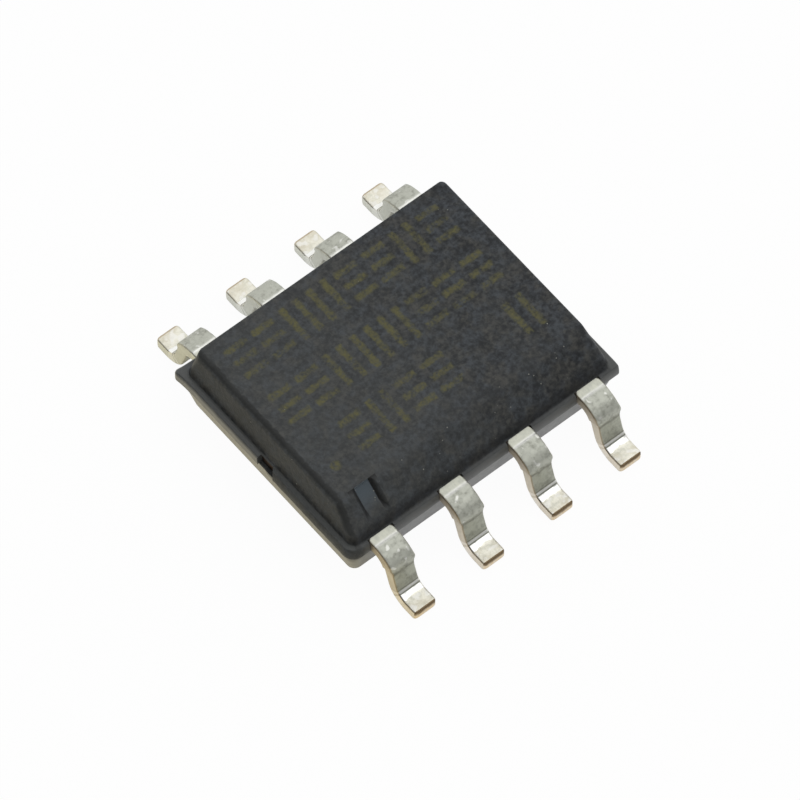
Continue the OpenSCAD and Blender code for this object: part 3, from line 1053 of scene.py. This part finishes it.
@dataclass
class Lead:
    """One gull-wing lead with its finger inside the body."""

    number: int
    body: PackageBody
    tip_y: float
    foot_w: float = 0.40
    trim_z: float = 0.63
    trim_taper: float = 0.04
    shoulder_flat: float = 0.06
    seat_len: float = 0.2
    bend_r: float = 0.19
    shank: float = radians(73)
    heel_folds: tuple[float, ...] = tuple(radians(fold) for fold in (73, 60, 40, 10, 0))
    fold_round: float = radians(0.8)
    edge_r: float = 0.036
    press: float = 0.036
    press_fold: float = radians(57)
    press_width: float = radians(32)
    press_end: float = 0.50
    tip_r: float = 0.06
    tip_edge_r: float = 0.03
    tip_under_r: float = 0.075
    middle_tip_y: float = 1.05
    head_w: float = 0.66
    head_len: float = 0.30
    corner_tip: tuple[float, float] = (1.5, 0.34)
    corner_len: float = 0.55
    burr: float = 0.012
    burr_lift: float = 0.05
    burr_reach: float = 0.035
    bend_steps: int = 28
    shank_steps: int = 8
    edge_steps: int = 4
    tip_steps: int = 8

    @property
    def x(self) -> float:
        """Where the lead's middle is, in the frame of the second row."""
        return self.body.lead_xs[-1 - (self.number - 1) % LEADS_PER_ROW]

    @property
    def first_row(self) -> bool:
        """Whether the lead is in the row that is turned by half a turn."""
        return self.number <= LEADS_PER_ROW

    @property
    def form(self) -> LeadForm:
        """The shape of the lead's finger."""
        return LeadForm.CORNER if self.number % LEADS_PER_ROW in (0, 1) else LeadForm.MIDDLE

    @property
    def half_t(self) -> float:
        """Half of the lead's thickness."""
        return self.body.lead_t / 2

    @property
    def mid_z(self) -> float:
        """Height of the middle line at the rim."""
        return self.body.lead_top - self.half_t

    @property
    def mid_r(self) -> float:
        """Radius of the bends at the middle of the thickness."""
        return self.bend_r + self.half_t

    @property
    def bend_y(self) -> float:
        """Where the shoulder bend starts."""
        return self.body.half_w + self.shoulder_flat

    @property
    def heel_y(self) -> float:
        """Where the heel bend ends and the foot starts."""
        drop = self.body.lead_under - 2 * self.mid_r * (1 - cos(self.shank))
        return self.bend_y + 2 * self.mid_r * sin(self.shank) + drop / tan(self.shank)

    @property
    def heel_z(self) -> float:
        """Height of the point that the heel bends about."""
        return self.body.lead_t + self.bend_r

    def sides(self, z: float) -> tuple[float, float]:
        """Say where the two sides of the shank are at a height.

        Args:
            z: The height of the middle line.

        Returns:
            The places of the left and the right side from the lead's middle, with the burr of the trimming.
        """
        above = z - self.trim_z
        share = min(1.0, max(0.0, above / self.trim_taper))
        half = (self.foot_w + share * (self.body.lead_w - self.foot_w)) / 2
        bump = self.burr * exp(-(((above - self.burr_lift) / self.burr_reach) ** 2))
        return (-half - bump, half) if self.first_row else (-half, half + bump)

    def pressed(self, tilt: float, z: float) -> float:
        """Say how far the outer face of the shoulder bend is raised by the forming tool.

        Args:
            tilt: The tilt of the cross-section.
            z: The height of its middle line.

        Returns:
            A height that rises to a fold, below which the face comes back to the shank.
        """
        if tilt < self.press_fold:
            return self.press * max(0.0, 1 - (self.press_fold - tilt) / self.press_width)
        fold_z = self.mid_z - self.mid_r * (1 - cos(self.press_fold))
        return self.press * max(0.0, (z - self.press_end) / (fold_z - self.press_end))

    def finger(self) -> list[Station]:
        """Draw the flat part inside the body, from its tip to the rim."""
        half = self.body.lead_w / 2
        if self.form is LeadForm.MIDDLE:
            neck, head = self.middle_tip_y + self.head_len, self.head_w / 2
            plan = [(self.middle_tip_y, -head, head), (neck, -head, head), (neck, -half, half)]
        else:
            inner, start = self.corner_tip
            reach, side = abs(self.x) - inner, copysign(1, self.x)
            waist = start + self.corner_len
            widths = [(start, reach), (waist, reach), (waist + reach - half, half)]
            plan = [(y, *sorted((-side * wide, side * half))) for y, wide in widths]
        return [Station(y, self.mid_z, 0.0, left, right) for y, left, right in plan]

    def shoulder(self) -> list[Station]:
        """Draw the flat at the rim and the bend that follows it."""
        half = self.body.lead_w / 2
        stations = [Station(self.body.half_w - self.seat_len, self.mid_z, 0.0, -half, half)]
        for tilt in sweep(0, self.shank, self.bend_steps):
            y, z = self.bend_y + self.mid_r * sin(tilt), self.mid_z - self.mid_r * (1 - cos(tilt))
            stations.append(Station(y, z, tilt, *self.sides(z), raised=self.pressed(tilt, z)))
        return stations

    def heel(self) -> list[Station]:
        """Draw the bend above the foot, whose upper face is pressed into narrow flats."""
        stations = []
        for high, low in zip(self.heel_folds, self.heel_folds[1:]):
            middle, half = (high + low) / 2, (high - low) / 2
            for tilt in (high - self.fold_round, middle, low + self.fold_round):
                y, z = self.heel_y - self.mid_r * sin(tilt), self.half_t + self.mid_r * (1 - cos(tilt))
                chord = self.bend_r * (1 - cos(half) / cos(tilt - middle))
                stations.append(Station(y, z, tilt, *self.sides(z), raised=chord))
        return stations

    def foot(self) -> list[Station]:
        """Draw the foot's rounded tip."""

        def drawn_in(back: float, r: float) -> float:
            """Return how far a rounding is drawn in at a distance from the tip."""
            into = max(0.0, r - back)
            return r - sqrt(r * r - into * into)

        stations = []
        for a in sweep(0, QUARTER, self.tip_steps):
            back = self.tip_under_r * (1 - sin(a))
            half = self.foot_w / 2 - drawn_in(back, self.tip_r)
            thin, lift = drawn_in(back, self.tip_edge_r), drawn_in(back, self.tip_under_r)
            y = self.tip_y - back
            stations.append(Station(y, self.half_t, 0.0, -half, half, thinned=thin, lifted=lift))
        return stations

    def gull_wing(self) -> list[Station]:
        """Draw the part outside the body, from the rim to the tip."""
        stations, heel = self.shoulder(), self.heel()
        start, end = stations[-1], heel[0]
        for share in sweep(0, 1, self.shank_steps)[1:-1]:
            y, z = start.y + (end.y - start.y) * share, start.z + (end.z - start.z) * share
            stations.append(Station(y, z, self.shank, *self.sides(z), raised=self.pressed(self.shank, z)))
        return stations + heel + self.foot()

    def ring(self, station: Station) -> list[Vector]:
        """Draw one cross-section with rounded edges.

        Args:
            station: Where it is.

        Returns:
            Its points, in the frame of the second row.
        """
        up = Vector((0, sin(station.tilt), cos(station.tilt)))
        centre = Vector((self.x, station.y, station.z))
        r = self.edge_r
        right, left = station.right - r, station.left + r
        high = self.half_t - station.thinned + station.raised - r
        low = r - self.half_t + station.lifted
        points = []
        for turn, (across, height) in enumerate([(right, high), (left, high), (left, low), (right, low)]):
            for a in sweep(QUARTER * turn, QUARTER * (turn + 1), self.edge_steps):
                side = Vector((across + r * cos(a), 0, 0))
                points.append(centre + side + up * (height + r * sin(a)))
        return points

    def build(self, materials: Sequence[Material]) -> Object:
        """Make the lead's piece.

        Args:
            materials: The materials, in the order of FaceFinish.

        Returns:
            The piece.
        """
        inside = self.finger()
        stations = inside + self.gull_wing()
        shape = bmesh.new()
        bands = join_rings(shape, [self.ring(station) for station in stations])
        rounded = sum(station.thinned > 0 for station in stations)
        first_end, last_end = bands[-2:]
        for finish, chosen in (
            (FaceFinish.FRAME, bands[: len(inside)] + [first_end]),
            (FaceFinish.CUT_END, bands[-2 - rounded : -2] + [last_end]),
        ):
            for face in (face for band in chosen for face in band):
                face.material_index = finish
        if self.first_row:
            bmesh.ops.rotate(shape, verts=shape.verts, matrix=Matrix.Rotation(pi, 3, "Z"))
        bmesh.ops.recalc_face_normals(shape, faces=shape.faces)
        name = f"lead_{self.number}"
        return add_piece(f"tinned_{name}", to_mesh(name, shape), name, materials)


@dataclass(frozen=True)
class SkyPatch:
    """A soft patch of the sky: the way to it, where it fades in, its strength and where it ends upwards."""

    way: tuple[float, float, float]
    fade: tuple[float, float]
    strength: float
    ceiling: tuple[float, float] | None = None


@dataclass(frozen=True)
class Studio:
    """A pale floor, soft light from above and behind, and the camera at the photograph's angle.

    The sky is brightest overhead, bright behind, and darker low in front and to the left.
    """

    aim: tuple[float, float, float] = (0.0, 0.0, 0.7)
    slide: tuple[float, float] = (0.0246, -0.3222)
    azimuth: float = radians(-39.3426)
    elevation: float = radians(59.6234)
    distance: float = 153.8
    sensor: float = 36.0
    focal: float = 483.0
    clip: tuple[float, float] = (0.01, 10.0)
    floor_size: float = 4.0
    floor_colour: Colour = (0.90, 0.90, 0.89)
    floor_sheen: Colour = (1.0, 0.90, 0.62)
    sheen_start: tuple[float, float] = (-1.5, -2.5)
    seen_white: float = 0.96
    mirrored_white: float = 0.6
    round_about: float = 0.72
    sky: tuple[SkyPatch, ...] = (
        SkyPatch((0.35, 0.94, 0.0), (0.05, 0.45), 1.06),
        SkyPatch((0.0, -1.0, 0.0), (0.40, 0.70), 0.40, (0.70, 0.52)),
        SkyPatch((-1.0, 0.0, 0.0), (0.38, 0.68), 0.10, (0.90, 0.75)),
        SkyPatch((0.32, -0.20, 0.926), (0.87, 0.93), 1.5),
    )

    def camera(self) -> None:
        """Set up the camera."""
        a, e = self.azimuth, self.elevation
        back = Vector((sin(a) * cos(e), -cos(a) * cos(e), sin(e)))
        right = Vector((cos(a), sin(a), 0))
        up = back.cross(right)
        target = Vector(self.aim) + right * self.slide[0] + up * self.slide[1]
        data = bpy.data.cameras.new("camera")
        data.sensor_width, data.lens = self.sensor, self.focal
        data.clip_start, data.clip_end = self.clip
        camera = bpy.data.objects.new("camera", data)
        turned = Matrix((right, up, back)).transposed().to_4x4()
        camera.matrix_world = Matrix.Translation((target + back * self.distance) * MM) @ turned
        bpy.context.scene.collection.objects.link(camera)
        bpy.context.scene.camera = camera

    def floor(self) -> None:
        """Lay the floor, which keeps the shadow, looks white and mirrors warmly at the left."""
        graph = ShaderGraph(bpy.data.materials.new("pale_floor"))
        rays = ("Camera", "Glossy", "Transmission")
        camera, glossy, through = (graph.node("LightPath", output=f"Is {ray} Ray") for ray in rays)
        left = graph.axes(graph.place())[0].rise(*self.sheen_start)
        warm = graph.glow("Emission", 1.0, self.floor_sheen)
        white = graph.blend(glossy * left, graph.glow("Emission", 1.0), warm)
        matt = graph.node("BsdfDiffuse", inputs={"Color": rgba(self.floor_colour)})
        seen = camera.most(through) * self.seen_white + glossy * self.mirrored_white
        shape = bmesh.new()
        bmesh.ops.create_grid(shape, x_segments=1, y_segments=1, size=self.floor_size)
        floor = new_object("floor", to_mesh("floor", shape))
        floor.data.materials.append(graph.end("Material", graph.blend(seen, matt, white)))

    def light(self) -> None:
        """Light the scene by the sky, which the camera itself sees as white."""
        world = bpy.data.worlds.new("studio")
        bpy.context.scene.world = world
        graph = ShaderGraph(world)
        way = graph.node("TexCoord", output="Generated")
        height = graph.axes(way)[2]
        sky = graph.glow("Background", self.round_about)
        for patch in self.sky:
            near = graph.node("VectorMath", {"operation": "DOT_PRODUCT"}, {0: way, 1: patch.way}, "Value")
            share = near.rise(*patch.fade)
            if patch.ceiling:
                share = share * height.rise(*patch.ceiling)
            sky = graph.blend(share, sky, graph.glow("Background", patch.strength))
        seen = graph.node("LightPath", output="Is Camera Ray")
        graph.end("World", graph.blend(seen, sky, graph.glow("Background", 1.0)))


def main() -> None:
    """Build every piece in order."""
    logging.basicConfig(level=logging.INFO, format="%(name)s: %(message)s")
    bpy.context.scene.view_settings.view_transform = "Standard"
    studio = Studio()
    studio.camera()
    studio.floor()
    studio.light()

    body = PackageBody.from_frame()
    piece = body.build(MouldCompound(body))
    LOG.info("%s: %d faces", piece.name, len(piece.data.polygons))

    tip_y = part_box("lead_5")[1].y / MM
    leads = [Lead(number, body, tip_y) for number in LEAD_NUMBERS]
    cut_end = CutEnd(body.lead_t - leads[0].tip_edge_r)
    open_x = body.half_len - body.pocket_depth
    copper = InnerFinish("frame_copper", (0.72, 0.45, 0.30), (0.50, 0.28, 0.17), open_x=open_x).material()
    materials = [TinPlating(leads[0]).material(), cut_end.material(), copper]
    for lead in leads:
        piece = lead.build(materials)
        LOG.info("%s: %d faces", piece.name, len(piece.data.polygons))

    adhesive = InnerFinish("silver_epoxy", (0.75, 0.74, 0.70), (0.55, 0.54, 0.50), 0.6, 0.3).material()
    silicon = InnerFinish("polished_silicon", (0.35, 0.36, 0.42), (0.30, 0.31, 0.38), 0.2, 0.8).material()
    gold = InnerFinish("gold_wire", (0.90, 0.72, 0.30), (0.84, 0.64, 0.24), 0.25).material()
    inner = [
        ("die_paddle", "lead_frame_copper", copper),
        ("die_attach", "die_adhesive", adhesive),
        ("silicon_die", "silicon", silicon),
    ]
    inner += [(f"bond_wire_{number}", "bond_wire", gold) for number in LEAD_NUMBERS]
    for node, slot, material in inner:
        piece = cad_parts[node]
        piece.data.materials.clear()
        piece.data.materials.append(material)
        LOG.info("%s dressed", piece.name)


if __name__ == "__main__":
    main()
